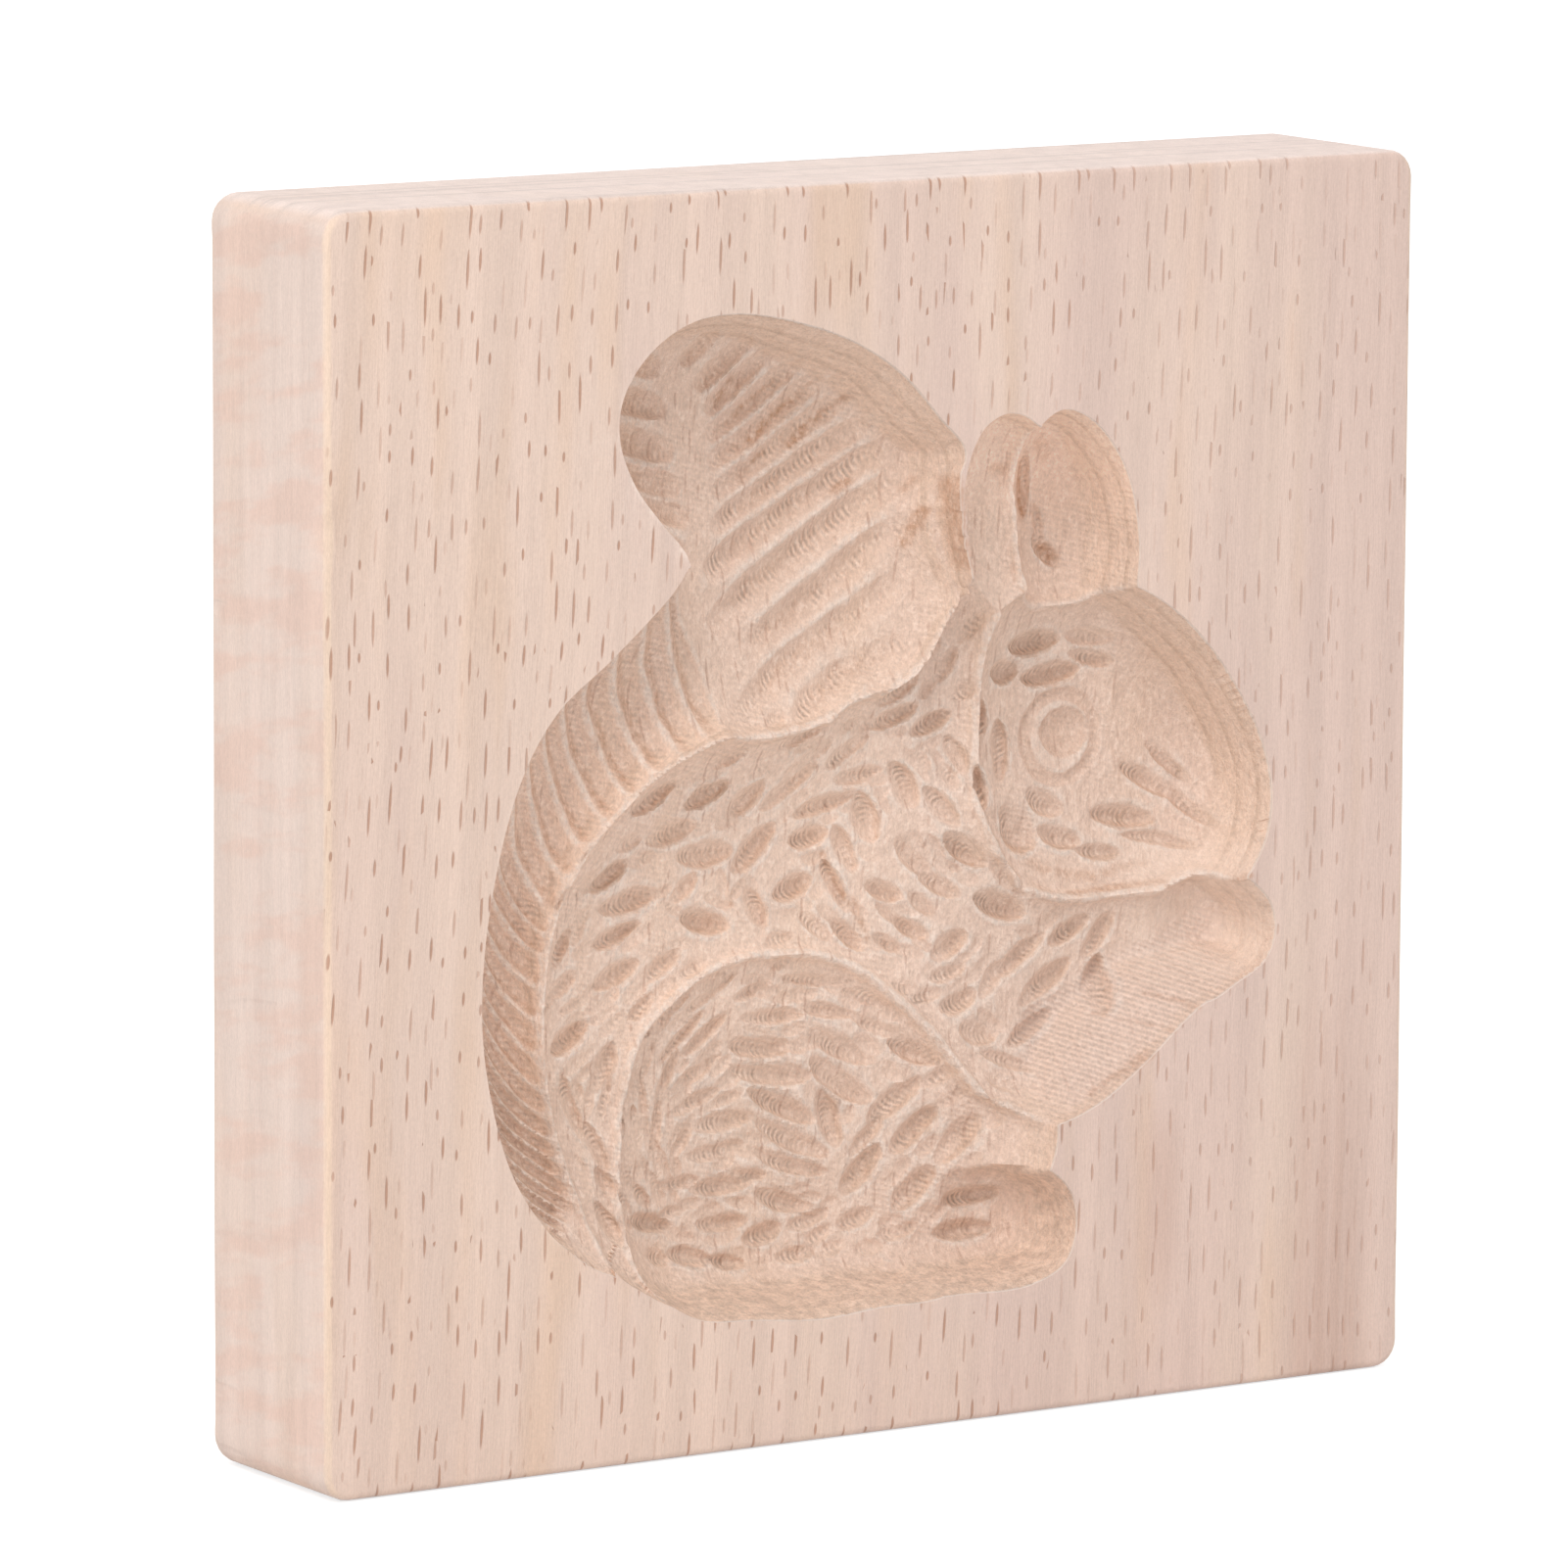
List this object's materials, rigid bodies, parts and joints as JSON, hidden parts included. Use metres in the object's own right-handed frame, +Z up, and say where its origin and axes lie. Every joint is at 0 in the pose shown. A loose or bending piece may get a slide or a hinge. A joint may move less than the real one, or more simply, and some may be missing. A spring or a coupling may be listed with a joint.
{
  "type": "cookie mould",
  "caption": "Square block of beech with a squirrel hollowed into its face, for pressing biscuit dough. Stands on its edge or lies on its back.",
  "frame": {"origin": "middle of the lower edge that the block stands on", "axes": "+Z up, carved face towards -Y, +X to the right as seen from the front"},
  "size_m": [0.12, 0.022, 0.118],
  "materials": {
    "beech": "bare planed beech, unfinished, short brown ray flecks"
  },
  "bodies": {
    "root": {"mould_block": "beech"}
  },
  "joints": []
}
